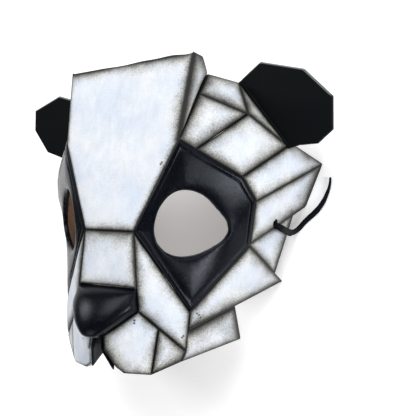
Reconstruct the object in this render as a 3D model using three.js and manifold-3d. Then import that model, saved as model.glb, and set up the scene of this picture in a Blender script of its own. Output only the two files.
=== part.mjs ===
// A faceted leather panda mask, lying face up on its side rims.
// Millimetres. +X is the wearer's left, +Y runs from chin to forehead, +Z points out of the face.
// Every panel is a piece of leather whose edges are mitred to its neighbours and kept a seam apart.

import * as THREE from 'three';
import { mergeVertices } from 'three/addons/utils/BufferGeometryUtils.js';
import Module from 'manifold-3d';

// Driving sizes
const LEATHER = 2.6;
const EAR_LEATHER = 3;
const SEAM = 0.5;
const STEP_DOWN = 1.8;
const MAX_EDGE_STEP = 13;
const CROWN_RINGS = [0, 0.4, 0.75];
const LEFT = 1;
const RIGHT = -1;

// The eye hole, an egg with a drawn-out outer end, in the plane of its patch
const EYE = {
  centre: { across: 38.4, up: -9.9, high: 77 },
  towardsNose: 17.4,
  towardsTemple: 22.8,
  above: 23.5,
  below: 15.6,
  tip: 5.2,
  tipSharpness: 14,
  slope: -0.04,
  rise: 1,
};
const EYE_RINGS = [0, 0.35, 0.7, 1];

// The hole that the tie lace is threaded through, and the lace
const LACE_HOLE = { radius: 2.4, share: 0.42, inset: 4.5, sides: 16 };
const LACE = { diameter: 3, sides: 8, step: 2.5, bend: 3.2, hidden: 5, gap: 0.4 };

// Corners of the folding pattern on the wearer's left
const CORNERS = [
  { name: 'brow_top', across: 44, up: 93, high: 92 },
  { name: 'brow_low', across: 40, up: 40, high: 94 },
  { name: 'bridge_top', across: 17, up: -14, high: 96 },
  { name: 'bridge_foot', across: 20, up: -46, high: 92 },
  { name: 'nose_wing', across: 21, up: -59, high: 89 },
  { name: 'nose_tip', across: 4, up: -74, high: 97 },
  { name: 'lip_split', across: 5, up: -82, high: 96 },
  { name: 'lip_heel', across: 9, up: -92, high: 88 },
  { name: 'lip_front', across: 13.5, up: -95, high: 86 },
  { name: 'lip_corner', across: 27, up: -95, high: 78 },
  { name: 'muzzle_foot', across: 43, up: -80, high: 68 },
  { name: 'patch_tip', across: 44.5, up: -57.5, high: 70 },
  { name: 'patch_low', across: 69, up: -15, high: 44 },
  { name: 'patch_side', across: 75, up: 11, high: 55 },
  { name: 'patch_high', across: 69, up: 24, high: 65 },
  { name: 'temple_knot', across: 64, up: 67, high: 51 },
  { name: 'strip_crest', across: 45.8, up: 93.4, high: 84 },
  { name: 'strip_back', across: 42, up: 89, high: 68 },
  { name: 'ear_top', across: 51, up: 93, high: 40 },
  { name: 'ear_foot', across: 86, up: 50, high: 34 },
  { name: 'side_top', across: 87, up: 54, high: 20 },
  { name: 'side_tip', across: 101, up: 46, high: 0 },
  { name: 'flank_tip', across: 91, up: 16, high: 0 },
  { name: 'cheek_tip', across: 78, up: -35, high: -0.3 },
  { name: 'jaw_tip', across: 60, up: -74, high: 24 },
  { name: 'jaw_front', across: 40, up: -87, high: 67.5 },
];

// Corners that lie on the fold between two others, a share of the way along it
const FOLD_POINTS = [
  { name: 'temple_fork', from: 'brow_low', to: 'patch_high', share: 0.26 },
  { name: 'strip_fork', from: 'brow_low', to: 'strip_back', share: 0.68 },
  { name: 'lip_fork', from: 'nose_wing', to: 'muzzle_foot', share: 0.42 },
  { name: 'cheek_fork', from: 'patch_tip', to: 'muzzle_foot', share: 0.5 },
  { name: 'jaw_fork', from: 'cheek_fork', to: 'cheek_tip', share: 0.48 },
  { name: 'lace_high', from: 'patch_low', to: 'flank_tip', share: 0.82 },
  { name: 'lace_low', from: 'patch_low', to: 'cheek_tip', share: 0.82 },
];

// Hand-cut differences: how far a corner on the wearer's right departs from a mirror image
const RIGHT_OFFSETS = [
  { name: 'brow_top', up: -6, high: 0 },
  { name: 'strip_crest', up: -4, high: 0 },
];

// Rim corners that stand on the table, where the leather is cut level
const LEVEL_CORNERS = ['side_tip', 'flank_tip', 'cheek_tip'];

// Panels that cross the middle of the face, listed by the corners of their left half
const MIDDLE_PANELS = [
  { name: 'forehead', half: ['brow_top', 'brow_low', 'bridge_top'], crown: 2.5, leather: 'white' },
  { name: 'bridge', half: ['bridge_top', 'bridge_foot'], crown: 1.5, leather: 'white' },
  { name: 'nose', half: ['bridge_foot', 'nose_wing', 'nose_tip'], crown: 12, leather: 'black' },
];

// Panels in pairs, one on each side. A sunk panel's listed corners sit a step below the fold
const SIDE_PANELS = [
  { name: 'brow_strip', crown: 0.8,
    corners: ['brow_low', 'brow_top', 'strip_crest', 'strip_back', 'strip_fork'] },
  { name: 'temple_top', corners: ['strip_fork', 'strip_back', 'ear_top', 'temple_knot'], crown: 1.5 },
  { name: 'temple_front', corners: ['brow_low', 'strip_fork', 'temple_knot', 'temple_fork'], crown: 1.5 },
  { name: 'temple_side', corners: ['temple_fork', 'temple_knot', 'ear_foot', 'patch_high'], crown: 2 },
  { name: 'ear_gusset', corners: ['temple_knot', 'ear_top', 'ear_foot'], crown: 0.5 },
  { name: 'side_upper', crown: 2,
    corners: ['patch_high', 'ear_foot', 'side_top', 'side_tip', 'patch_side'] },
  { name: 'side_middle', crown: 1.5,
    corners: ['patch_side', 'side_tip', 'flank_tip', 'lace_high', 'patch_low'] },
  { name: 'lace_panel', corners: ['patch_low', 'lace_high', 'lace_low'], crown: 0.6,
    sunk: ['patch_low', 'lace_high', 'lace_low'] },
  { name: 'cheek', corners: ['patch_tip', 'patch_low', 'lace_low', 'cheek_tip', 'jaw_fork', 'cheek_fork'],
    crown: 2 },
  { name: 'jaw', corners: ['cheek_fork', 'jaw_fork', 'jaw_tip', 'jaw_front', 'muzzle_foot'], crown: 1.5,
    sunk: ['cheek_fork', 'jaw_fork'] },
  { name: 'muzzle', crown: 2,
    corners: ['bridge_top', 'patch_tip', 'cheek_fork', 'muzzle_foot', 'lip_fork', 'nose_wing', 'bridge_foot'] },
  { name: 'lip_front', crown: 2.5,
    corners: ['nose_tip', 'nose_wing', 'lip_fork', 'lip_corner', 'lip_front', 'lip_heel', 'lip_split'] },
  { name: 'lip_side', corners: ['lip_fork', 'muzzle_foot', 'jaw_front', 'lip_corner'], crown: 1.2 },
];
const PATCH_CORNERS = [
  'brow_low', 'temple_fork', 'patch_high', 'patch_side', 'patch_low', 'patch_tip', 'bridge_top',
];

// Free corners of an ear, from the crown round to the temple, on each side of the head
const EAR_CORNERS = [
  { left: { across: 67, up: 103, high: 44 }, right: { across: 77, up: 85.6, high: 42.3 } },
  { left: { across: 96, up: 95, high: 46 }, right: { across: 93.5, up: 90, high: 46 } },
  { left: { across: 114, up: 77, high: 46 }, right: { across: 114, up: 80, high: 46 } },
  { left: { across: 114, up: 58, high: 43 }, right: { across: 115, up: 66, high: 43 } },
  { left: { across: 105, up: 51, high: 39 }, right: { across: 105, up: 50, high: 39 } },
  { left: { across: 93, up: 51, high: 36 }, right: { across: 93, up: 46, high: 36 } },
];
const EAR_SEAT = 0.7;

// Share of the ear's seam that stays free above the right ear, which is sewn on lower
const RIGHT_EAR_DROP = 0.28;

// The dark flap along the inner edge of each lip, from under the nose down to the heel of the lip and back
const TAB_OUTLINE = [
  { across: 1.7, up: -75.4, high: 95.6 },
  { across: 2.4, up: -82, high: 95 },
  { across: 6.2, up: -92.2, high: 88 },
  { across: 4.2, up: -87.5, high: 85.6 },
  { across: 2.4, up: -82.5, high: 81.5 },
  { across: 1.7, up: -76, high: 86.5 },
];
const TAB_LEATHER = 1.4;

// Route of the lace's free end, from the rim down to the table and along it to the cut tip
const LACE_TAIL = [
  { across: 84.5, up: -2.4, high: 8.4 },
  { across: 84.8, up: -2, high: 5.9 },
  { across: 85.7, up: -0.9, high: 3.8 },
  { across: 87, up: 0.6, high: 2.4 },
  { across: 88.6, up: 2.6, high: 1.9 },
  { across: 91, up: 5.6, high: 1.85 },
  { across: 93.9, up: 8.6, high: 1.85 },
  { across: 96.8, up: 11.4, high: 1.85 },
  { across: 99.4, up: 14.3, high: 1.85 },
  { across: 101.6, up: 17.5, high: 1.85 },
  { across: 103.5, up: 21.1, high: 1.85 },
  { across: 105, up: 25, high: 1.85 },
  { across: 106.1, up: 28.7, high: 1.85 },
  { across: 106.7, up: 32.4, high: 1.85 },
  { across: 106.7, up: 36.2, high: 1.85 },
];

const LOOKS = {
  white: new THREE.MeshStandardMaterial({ color: 0xeceff3, roughness: 0.55, metalness: 0 }),
  black: new THREE.MeshStandardMaterial({ color: 0x17191f, roughness: 0.42, metalness: 0 }),
  lace: new THREE.MeshStandardMaterial({ color: 0x1b1b22, roughness: 0.6, metalness: 0 }),
};

const wasm = await Module();
wasm.setup();

// Corner places and leans

const key = (name, side) => `${name} ${side}`;
const toVector = (row, side) => new THREE.Vector3(side * row.across, row.up, row.high);
const places = new Map();

for (const side of [LEFT, RIGHT]) {
  for (const row of CORNERS) places.set(key(row.name, side), toVector(row, side));
}
for (const row of RIGHT_OFFSETS) {
  places.get(key(row.name, RIGHT)).add(new THREE.Vector3(0, row.up, row.high));
}
for (const side of [LEFT, RIGHT]) {
  for (const row of FOLD_POINTS) {
    const from = places.get(key(row.from, side));
    const to = places.get(key(row.to, side));
    places.set(key(row.name, side), from.clone().lerp(to, row.share));
  }
}

function outlineNormal(points) {
  const normal = new THREE.Vector3();
  points.forEach((point, i) => normal.add(point.clone().cross(points[(i + 1) % points.length])));
  return normal.normalize();
}

function middleOf(points) {
  const sum = new THREE.Vector3();
  points.forEach((point) => sum.add(point));
  return sum.divideScalar(points.length);
}

// Turns an outline's order so that its normal points away from the wearer's head
const HEAD = new THREE.Vector3(0, 0, 10);
function facingOut(keys) {
  const points = keys.map((k) => places.get(k));
  const outwards = middleOf(points).sub(HEAD);
  return outlineNormal(points).dot(outwards) < 0 ? [...keys].reverse() : keys;
}

const sideName = (name, side) => `${name}_${side === LEFT ? 'left' : 'right'}`;
const panels = [];
for (const row of MIDDLE_PANELS) {
  const left = row.half.map((name) => key(name, LEFT));
  const right = row.half.map((name) => key(name, RIGHT)).reverse();
  panels.push({ ...row, keys: facingOut([...left, ...right]), sunk: [] });
}
for (const side of [LEFT, RIGHT]) {
  for (const row of SIDE_PANELS) {
    panels.push({
      name: sideName(row.name, side),
      keys: facingOut(row.corners.map((name) => key(name, side))),
      sunk: (row.sunk ?? []).map((name) => key(name, side)),
      crown: row.crown,
      leather: 'white',
      holeSide: row.name === 'side_middle' ? side : 0,
    });
  }
}
const patches = [LEFT, RIGHT].map((side) => ({
  name: sideName('eye_patch', side),
  side,
  keys: facingOut(PATCH_CORNERS.map((name) => key(name, side))),
}));

// A corner's lean is the way its leather's thickness runs, shared by all panels that meet there
const leans = new Map();
function addLean(k, normal) {
  if (!leans.has(k)) leans.set(k, []);
  leans.get(k).push(normal);
}
for (const panel of [...panels, ...patches]) {
  const normal = outlineNormal(panel.keys.map((k) => places.get(k)));
  panel.keys.forEach((k) => addLean(k, normal));
}
for (const [k, normals] of leans) {
  const lean = middleOf(normals).normalize();
  if (LEVEL_CORNERS.includes(k.split(' ')[0])) lean.setZ(0).normalize();
  const reach = normals.reduce((sum, normal) => sum + normal.dot(lean), 0) / normals.length;
  leans.set(k, lean.divideScalar(reach));
}
for (const side of [LEFT, RIGHT]) {
  for (const row of FOLD_POINTS) {
    const from = leans.get(key(row.from, side));
    const to = leans.get(key(row.to, side));
    leans.set(key(row.name, side), from.clone().lerp(to, row.share));
  }
}

// Solids from rings of points

class Solid {
  constructor() {
    this.positions = [];
    this.triangles = [];
  }

  vertex(point) {
    this.positions.push(point.x, point.y, point.z);
    return this.positions.length / 3 - 1;
  }

  ring(points) {
    return points.map((point) => this.vertex(point));
  }

  band(lower, upper) {
    const count = lower.length;
    for (let j = 0; j < count; j += 1) {
      const next = (j + 1) % count;
      this.triangles.push(lower[j], lower[next], upper[next], lower[j], upper[next], upper[j]);
    }
  }

  fan(ring, middle) {
    const count = ring.length;
    for (let j = 0; j < count; j += 1) this.triangles.push(ring[j], ring[(j + 1) % count], middle);
  }

  geometry() {
    const geometry = new THREE.BufferGeometry();
    geometry.setAttribute('position', new THREE.Float32BufferAttribute(this.positions, 3));
    geometry.setIndex(this.triangles);
    geometry.computeVertexNormals();
    return geometry;
  }
}

// Moves the corners of an outline inwards by half a seam and cuts its edges into steps
function seamedOutline(corners, normal) {
  const count = corners.length;
  const inward = corners.map((corner, i) => {
    const along = corners[(i + 1) % count].place.clone().sub(corner.place);
    return normal.clone().cross(along).normalize();
  });
  const moved = corners.map((corner, i) => {
    const before = inward[(i + count - 1) % count];
    const after = inward[i];
    const shift = before.clone().add(after).multiplyScalar(SEAM / 2 / (1 + before.dot(after)));
    return { place: corner.place.clone().add(shift), lean: corner.lean };
  });
  return moved.flatMap((from, i) => {
    const to = moved[(i + 1) % count];
    const steps = Math.max(1, Math.ceil(from.place.distanceTo(to.place) / MAX_EDGE_STEP));
    return Array.from({ length: steps }, (_, j) => ({
      place: from.place.clone().lerp(to.place, j / steps),
      lean: from.lean.clone().lerp(to.lean, j / steps),
    }));
  });
}

const inside = (spot, thickness) => spot.place.clone().addScaledVector(spot.lean, -thickness);

function cornersOf(keys, sunk) {
  return keys.map((k) => {
    const lean = leans.get(k);
    const drop = sunk.includes(k) ? STEP_DOWN : 0;
    return { place: places.get(k).clone().addScaledVector(lean, -drop), lean };
  });
}

// A crowned sheet of leather: rings run from the outline up to the middle
function panelSolid(corners, crown, thickness) {
  const normal = outlineNormal(corners.map((corner) => corner.place));
  const outline = seamedOutline(corners, normal);
  const middle = middleOf(outline.map((spot) => spot.place));
  const rings = CROWN_RINGS.map((share) => outline.map((spot) => ({
    place: spot.place.clone().lerp(middle, share).addScaledVector(normal, crown * (1 - (1 - share) ** 2)),
    lean: spot.lean.clone().lerp(normal, share),
  })));
  const solid = new Solid();
  const outer = rings.map((ring) => solid.ring(ring.map((spot) => spot.place)));
  const inner = rings.map((ring) => solid.ring(ring.map((spot) => inside(spot, thickness))));
  const top = middle.clone().addScaledVector(normal, crown);
  for (let k = 1; k < rings.length; k += 1) {
    solid.band(outer[k - 1], outer[k]);
    solid.band(inner[k], inner[k - 1]);
  }
  solid.fan(outer.at(-1), solid.vertex(top));
  solid.fan([...inner.at(-1)].reverse(), solid.vertex(top.clone().addScaledVector(normal, -thickness)));
  solid.band(inner[0], outer[0]);
  return solid.geometry();
}

// Distance from the eye hole's centre to its edge, by the angle from its outer end
function eyeRadius(angle) {
  const wide = Math.cos(angle) > 0 ? EYE.towardsTemple : EYE.towardsNose;
  const tall = Math.sin(angle) > 0 ? EYE.above : EYE.below;
  const egg = 1 / Math.hypot(Math.cos(angle) / wide, Math.sin(angle) / tall);
  return egg + EYE.tip * Math.max(0, Math.cos(angle)) ** EYE.tipSharpness;
}

// The eye patch: rings run from its outline to the edge of the eye hole
function patchSolid(patch) {
  const corners = cornersOf(patch.keys, []);
  const normal = outlineNormal(corners.map((corner) => corner.place));
  const outline = seamedOutline(corners, normal);
  const sheet = middleOf(corners.map((corner) => corner.place));
  const centre = toVector(EYE.centre, patch.side);
  centre.addScaledVector(normal, sheet.sub(centre).dot(normal) + EYE.rise);
  const outwards = new THREE.Vector3(patch.side, EYE.slope, 0).projectOnPlane(normal).normalize();
  const upwards = normal.clone().cross(outwards).multiplyScalar(patch.side);
  const edge = outline.map((spot) => {
    const arm = spot.place.clone().sub(centre);
    const angle = Math.atan2(arm.dot(upwards), arm.dot(outwards));
    const radius = eyeRadius(angle);
    return {
      place: centre.clone()
        .addScaledVector(outwards, radius * Math.cos(angle))
        .addScaledVector(upwards, radius * Math.sin(angle)),
      lean: normal,
    };
  });
  const rings = EYE_RINGS.map((share) => outline.map((spot, j) => ({
    place: spot.place.clone().lerp(edge[j].place, share)
      .addScaledVector(normal, EYE.rise * Math.sin(Math.PI * share)),
    lean: spot.lean.clone().lerp(edge[j].lean, share),
  })));
  const solid = new Solid();
  const outer = rings.map((ring) => solid.ring(ring.map((spot) => spot.place)));
  const inner = rings.map((ring) => solid.ring(ring.map((spot) => inside(spot, LEATHER))));
  for (let k = 1; k < rings.length; k += 1) {
    solid.band(outer[k - 1], outer[k]);
    solid.band(inner[k], inner[k - 1]);
  }
  solid.band(inner[0], outer[0]);
  solid.band(outer.at(-1), inner.at(-1));
  return solid.geometry();
}

// A flat plate with its back set straight behind its front
function plateSolid(points, normal, thickness) {
  const solid = new Solid();
  const front = solid.ring(points);
  const back = solid.ring(points.map((point) => point.clone().addScaledVector(normal, -thickness)));
  const middle = middleOf(points);
  solid.fan(front, solid.vertex(middle));
  solid.fan([...back].reverse(), solid.vertex(middle.clone().addScaledVector(normal, -thickness)));
  solid.band(back, front);
  return solid.geometry();
}

// Boolean cut

function toManifold(geometry) {
  const plain = geometry.clone();
  plain.deleteAttribute('normal');
  plain.deleteAttribute('uv');
  const merged = mergeVertices(plain);
  return new wasm.Manifold(new wasm.Mesh({
    numProp: 3,
    vertProperties: new Float32Array(merged.attributes.position.array),
    triVerts: new Uint32Array(merged.index.array),
  }));
}

function fromManifold(manifold) {
  const mesh = manifold.getMesh();
  const geometry = new THREE.BufferGeometry();
  geometry.setAttribute('position', new THREE.Float32BufferAttribute(mesh.vertProperties, 3));
  geometry.setIndex(new THREE.Uint32BufferAttribute(mesh.triVerts, 1));
  geometry.computeVertexNormals();
  return geometry;
}

// Where the lace passes through the side panel: the hole's mouth and the way it points
function laceHole(side) {
  const panel = panels.find((p) => p.name === sideName('side_middle', side));
  const points = panel.keys.map((k) => places.get(k));
  const axis = outlineNormal(points);
  const from = places.get(key('patch_low', side));
  const to = places.get(key('flank_tip', side));
  const along = to.clone().sub(from).normalize();
  const into = axis.clone().cross(along).multiplyScalar(side);
  const centre = from.clone().lerp(to, LACE_HOLE.share).addScaledVector(into, LACE_HOLE.inset);
  return { centre, axis };
}

function punched(geometry, side) {
  const { centre, axis } = laceHole(side);
  const drill = new THREE.CylinderGeometry(LACE_HOLE.radius, LACE_HOLE.radius, LEATHER * 8, LACE_HOLE.sides);
  drill.applyQuaternion(new THREE.Quaternion().setFromUnitVectors(new THREE.Vector3(0, 1, 0), axis));
  drill.translate(centre.x, centre.y, centre.z);
  return fromManifold(toManifold(geometry).subtract(toManifold(drill)));
}

// Assembly

const mask = new THREE.Group();
function add(name, geometry, look) {
  const mesh = new THREE.Mesh(geometry, LOOKS[look]);
  mesh.name = name;
  mask.add(mesh);
}

for (const panel of panels) {
  const geometry = panelSolid(cornersOf(panel.keys, panel.sunk), panel.crown, LEATHER);
  add(panel.name, panel.holeSide ? punched(geometry, panel.holeSide) : geometry, panel.leather);
}
for (const patch of patches) add(patch.name, patchSolid(patch), 'black');

function earSolid(side) {
  const free = EAR_CORNERS.map((row) => toVector(side === LEFT ? row.left : row.right, side));
  const foot = places.get(key('ear_foot', side));
  const top = places.get(key('ear_top', side)).clone().lerp(foot, side === LEFT ? 0 : RIGHT_EAR_DROP);
  const base = [top, foot];
  const outline = [base[0], ...free, base[1]];
  const order = side === LEFT ? [...outline].reverse() : outline;
  const normal = outlineNormal(order);
  const away = middleOf(free).sub(middleOf(base)).projectOnPlane(normal).normalize();
  const middle = middleOf(order);
  const flat = order.map((point) => {
    const drop = middle.clone().sub(point).dot(normal);
    return point.clone().addScaledVector(normal, drop);
  });
  const seated = flat.map((point, i) => {
    const onBase = base.includes(order[i]);
    return onBase ? point.addScaledVector(away, EAR_SEAT) : point;
  });
  return plateSolid(seated, normal, EAR_LEATHER);
}
add('ear_left', earSolid(LEFT), 'black');
add('ear_right', earSolid(RIGHT), 'black');

function tabSolid(side) {
  const outline = TAB_OUTLINE.map((row) => toVector(row, side));
  const order = side === LEFT ? [...outline].reverse() : outline;
  return plateSolid(order, outlineNormal(order), TAB_LEATHER);
}
add('lip_tab_left', tabSolid(LEFT), 'black');
add('lip_tab_right', tabSolid(RIGHT), 'black');

// The origin is under the middle of the leather, on the table that it rests on
const extent = new THREE.Box3().setFromObject(mask);
const middle = extent.getCenter(new THREE.Vector3());
mask.position.set(-middle.x, -middle.y, -extent.min.z);

function laceSection() {
  const outline = Array.from({ length: LACE.sides }, (_, i) => {
    const turn = (2 * Math.PI * (i + 0.5)) / LACE.sides;
    return new THREE.Vector2(Math.cos(turn), Math.sin(turn)).multiplyScalar(LACE.diameter / 2);
  });
  return new THREE.Shape(outline);
}

function laceSolid(points) {
  const route = new THREE.CatmullRomCurve3(points);
  const steps = Math.round(route.getLength() / LACE.step);
  return new THREE.ExtrudeGeometry(laceSection(), { steps, extrudePath: route, bevelEnabled: false });
}

// The lace comes out of its hole and turns down over the lace panel to the rim
function laceLoopPoints() {
  const { centre, axis } = laceHole(LEFT);
  const end = toVector(LACE_TAIL[0], LEFT);
  const past = toVector(LACE_TAIL[1], LEFT).sub(end).normalize();
  const along = end.clone().sub(centre).projectOnPlane(axis).normalize();
  const turn = centre.clone().addScaledVector(axis, LACE.bend).addScaledVector(along, LACE.bend);
  return [
    centre.clone().addScaledVector(axis, -LEATHER - LACE.hidden),
    centre.clone().addScaledVector(axis, -LEATHER / 2),
    turn,
    end.clone().addScaledVector(past, -LACE.bend - LACE.gap),
    end.clone().addScaledVector(past, -LACE.gap),
  ];
}
add('lace_loop', laceSolid(laceLoopPoints()), 'lace');
add('lace_tail', laceSolid(LACE_TAIL.map((row) => toVector(row, LEFT))), 'lace');

export default mask;
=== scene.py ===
"""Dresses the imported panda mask: painted panels, dyed eye patches, nose and ears, and a tie lace."""

import math

import bmesh
import bpy
import numpy as np
from mathutils import Matrix, Vector, noise


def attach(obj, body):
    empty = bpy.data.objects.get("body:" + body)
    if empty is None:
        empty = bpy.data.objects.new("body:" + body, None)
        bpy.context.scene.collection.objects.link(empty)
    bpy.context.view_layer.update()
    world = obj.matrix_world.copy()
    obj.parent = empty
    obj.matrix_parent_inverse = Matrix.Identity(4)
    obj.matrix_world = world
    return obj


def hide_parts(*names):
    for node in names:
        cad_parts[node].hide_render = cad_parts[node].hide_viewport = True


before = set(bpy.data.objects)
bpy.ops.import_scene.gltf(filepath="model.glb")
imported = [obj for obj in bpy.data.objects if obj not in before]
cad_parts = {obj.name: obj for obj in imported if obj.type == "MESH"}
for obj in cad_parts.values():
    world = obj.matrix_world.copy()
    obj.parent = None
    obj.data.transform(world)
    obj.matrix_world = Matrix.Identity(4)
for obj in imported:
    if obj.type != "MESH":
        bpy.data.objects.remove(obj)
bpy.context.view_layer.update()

# Lengths are millimetres of the row frame unless a comment says metres, and MM turns them into metres
MM = 0.001
BODY = "root"
UP = (0, 0, 1)

# Camera: where it stands, how it is turned, and its focal length in pixels of a square picture
CAMERA_PLACE = (188.8, -40.5, 361.8)
CAMERA_YAW = math.radians(25.27)
CAMERA_PITCH = math.radians(-7.11)
CAMERA_ROLL = math.radians(4.67)
PICTURE_PIXELS = 416
FOCAL_PIXELS = 548.7
SENSOR_WIDTH = 36.0
CLIP_START = 10.0

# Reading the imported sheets: corners closer than this are one, and a sharper fold parts two faces
PACKED_WELD = 0.02
FOLD_ANGLE = math.radians(40)
FACE_CENTRE_HEIGHT = 10.0

# Meshes of the pieces
POINT_WELD = 0.0005
SHARP_ANGLE = math.radians(50)

# Nothing is divided by an area or a distance that is smaller than these
TINY_AREA = 1e-6
TINY_GAP = 1e-4
TINY_ARM = 1e-3

# Leather panels
OUTLINE_STEP = 1.6
SEAM_CLOSING = 0.2
EDGE_ROUNDING = 0.9
EDGE_SHARE = 0.1
WAVE_HEIGHT = 0.3
WAVE_LENGTH = 17.0
WAVE_MARGIN = 5.0
EDGE_RINGS = (0.0, 0.12, 0.3, 0.6, 0.9, 1.3, 1.9, 2.7)
INNER_SHARES = (0.14, 0.22, 0.3, 0.38, 0.46, 0.54, 0.62, 0.7, 0.78, 0.86, 0.94)
PILLOW_POWER = 1.5
CORNER_ANGLE = math.radians(4)
BASE_MARGIN = 1.0
BACK_SHARES = (0.0, 0.04, 0.3, 0.6, 0.85)

# Corners of the back that share one packed point stand apart by this share of the outer corners' gap
BACK_SPREAD = 0.5

# The dark border of each white panel: its usual width as a share, then edges that differ. Each of those
# has the way it faces (out from the middle of the mask, to the forehead, off the face), more width, and
# a black core.
BORDERS = {
    "forehead": (0.25, (
        ((0, 1, 0), 0.9, 0.5),
        ((0, -1, 0), 0.4, 0.0),
        ((0.9, 0.45, 0), 1.2, 1.3),
        ((-0.9, 0.45, 0), 0.5, 0.4),
    )),
    "bridge": (0.6, (((0, 1, 0.1), 0.6, 0.0),)),
    "muzzle": (0.8, ()),
    "lip_front": (0.75, (((-0.73, -0.58, 0.36), 0.5, 0.5), ((-0.1, -0.98, -0.15), 0.0, 0.5))),
    "lip_side": (0.95, (((0.23, -0.89, -0.4), 0.3, 0.8),)),
    "brow_strip": (2.0, ()),
    "temple_top": (1.35, (((-0.48, 0.88, 0), 0.2, 0.7),)),
    "temple_front": (1.35, ()),
    "temple_side": (1.2, ()),
    "ear_gusset": (1.6, ()),
    "side_upper": (0.95, (((0.09, 0.95, -0.31), 0.5, 0.9),)),
    "side_middle": (0.95, (((0.23, -0.08, -0.97), 1.2, 1.5), ((-0.11, -0.79, -0.61), 0.3, 0.8))),
    "lace_panel": (0.85, (((0.29, -0.07, -0.96), 0.6, 1.2),)),
    "cheek": (0.85, (((-0.08, -0.88, -0.47), 0.5, 1.5), ((0.38, 0.87, -0.32), 0.3, 0.5))),
    "jaw": (0.5, (
        ((0.38, 0.44, -0.81), 1.5, 1.4),
        ((-0.04, 0.9, 0.43), 1.2, 0.8),
        ((0, -0.96, -0.29), 0.4, 0.6),
    )),
}

# Panels that have no mirror image
MIDDLE_PANELS = ("forehead", "bridge")

# Panels that are painted otherwise than their mirror images
OWN_BORDERS = {
    "lip_front_right": (0.6, (((-0.73, -0.58, 0.36), -0.5, 0.0), ((-0.1, -0.98, -0.15), -0.2, 0.3))),
}
NO_BORDER = (1.0, ())
EDGE_POWER = 5

# Colours of the border from the seam inwards, over this many millimetres
BORDER_REACH = 9.0
BORDER_STOPS = (
    (0.0, (0.004, 0.004, 0.004)),
    (0.06, (0.006, 0.006, 0.006)),
    (0.1, (0.045, 0.042, 0.036)),
    (0.18, (0.13, 0.127, 0.112)),
    (0.3, (0.29, 0.288, 0.27)),
    (0.46, (0.47, 0.475, 0.47)),
    (0.7, (0.61, 0.625, 0.645)),
    (1.0, (0.69, 0.715, 0.755)),
)

# Panels round a hole: the eye patches, and the white panels with a hole for the lace
HOLED_PANELS = ("side_middle",)
HOLED_RISE = {"patch": 1.8, "panel": 0.0}
PATCH_FIELD = 3.0
PATCH_FULLNESS = 0.8
PATCH_GROOVE = 3.2
GROOVE_DEPTH = {"patch": 0.4, "panel": 0.0}
GROOVE_HALF_WIDTH = 0.45
HOLED_EDGE_RINGS = (0.0, 0.15, 0.4, 0.8, 1.4, 2.0, 2.5, 2.85, 3.2, 3.55, 3.9, 4.4, 5.0)
HOLED_SHARES = (0.12, 0.26, 0.42, 0.58, 0.7, 0.8, 0.88, 0.93, 0.965, 0.985, 1.0)
HOLED_BACK_SHARES = (*BACK_SHARES, 0.97, 1.0)
HOLED_EDGE_SHARE = 0.5
HOLED_WAVE_SHARE = 0.5
HOLE_ROUNDING = {"patch": 1.1, "panel": 0.4}

# Nose
NOSE_CROWN_SHARE = 0.95
NOSE_FULLNESS = 0.52
NOSE_TOP_LENGTH = 3.0
NOSE_LEAN = 0.024
NOSE_LEAN_START = 3.0
NOSE_LEAN_LENGTH = 14.0
NOSE_SLOPE_LENGTH = 34.0
NOSE_GROOVE = 2.2
NOSE_GROOVE_DEPTH = 0.45
NOSE_GROOVE_HALF_WIDTH = 0.5
NOSE_WAVE_SHARE = 0.4

# The forehead's free edge wanders in two waves, of which the second is lower and comes more often
CUT_HEIGHT = 0.7
CUT_LENGTH = 9.0
CUT_START = 0.6
CUT_SECOND_HEIGHT = 0.5
CUT_SECOND_COUNT = 2.3
CUT_MARGIN = 6.0

# Dark spray along part of the forehead's upper edge
SPRAY_PLACE = -29.0
SPRAY_LENGTH = 15.0
SPRAY_DEPTH = 12.0
SPRAY_STRENGTH = 0.85

# Small dark flecks in the white paint, with a core and a soft rim as shares of their radius
FLECKS = (
    (30.8, 21.0, 95.2),
    (31.5, 22.0, 95.2),
    (20.4, -68.5, 90.3),
    (20.4, -70.0, 90.4),
    (-11.3, -82.1, 93.8),
    (42.1, -76.6, 71.8),
    (42.7, -75.7, 71.3),
    (47.8, -62.4, 66.3),
    (48.5, -63.2, 65.0),
    (49.0, -64.7, 63.7),
)
FLECK_RADIUS = 0.55
FLECK_CORE = 0.6
FLECK_RIM = 1.5
FLECK_SHADE = 0.04

# Ears
EAR_RINGS = (2.95, 3.2, 3.45, 3.7, 3.95, 4.2, 4.5)
EAR_TUCK = 1.0
EAR_FOOT_GAP = 0.1
EAR_CREASE = 3.2
EAR_CREASE_DEPTH = 0.5
EAR_CREASE_HALF_WIDTH = 0.6

# Pieces that tuck further under their neighbours than the usual closing of a seam
CLOSINGS = {"ear": 1.0, "tab": 0.8}

# Plates whose face isn't the side away from the wearer
FRONTS = {"ear": "up", "tab": "middle"}

# How blunt the widened tips are: above zero, a sharp corner grows less than its edges would meet
BLUNTNESS = {"tab": 0.6}

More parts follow.
